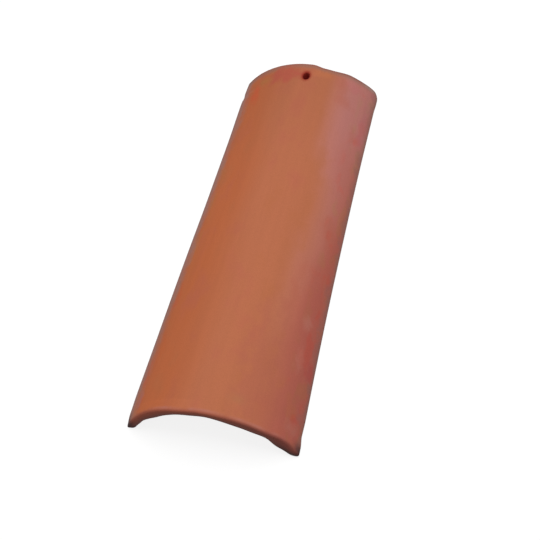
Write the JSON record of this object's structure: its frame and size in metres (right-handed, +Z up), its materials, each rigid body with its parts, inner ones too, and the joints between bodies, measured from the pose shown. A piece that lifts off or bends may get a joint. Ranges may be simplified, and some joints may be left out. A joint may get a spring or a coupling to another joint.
{
  "type": "clay roof tile",
  "caption": "Tapered barrel roof tile of fired clay, an arched cover tile with a nail hole in its crown near the narrow head end.",
  "frame": {"origin": "centre of the tile's bounding box, on the floor plane that its two feet lie on", "axes": "+Z up through the crown, +Y along the tile to the narrow head end with the nail hole, +X across it"},
  "size_m": [0.1948, 0.5018, 0.0668],
  "materials": {
    "terracotta": "matt fired clay"
  },
  "bodies": {
    "root": {"roof_tile": "terracotta"}
  },
  "joints": []
}
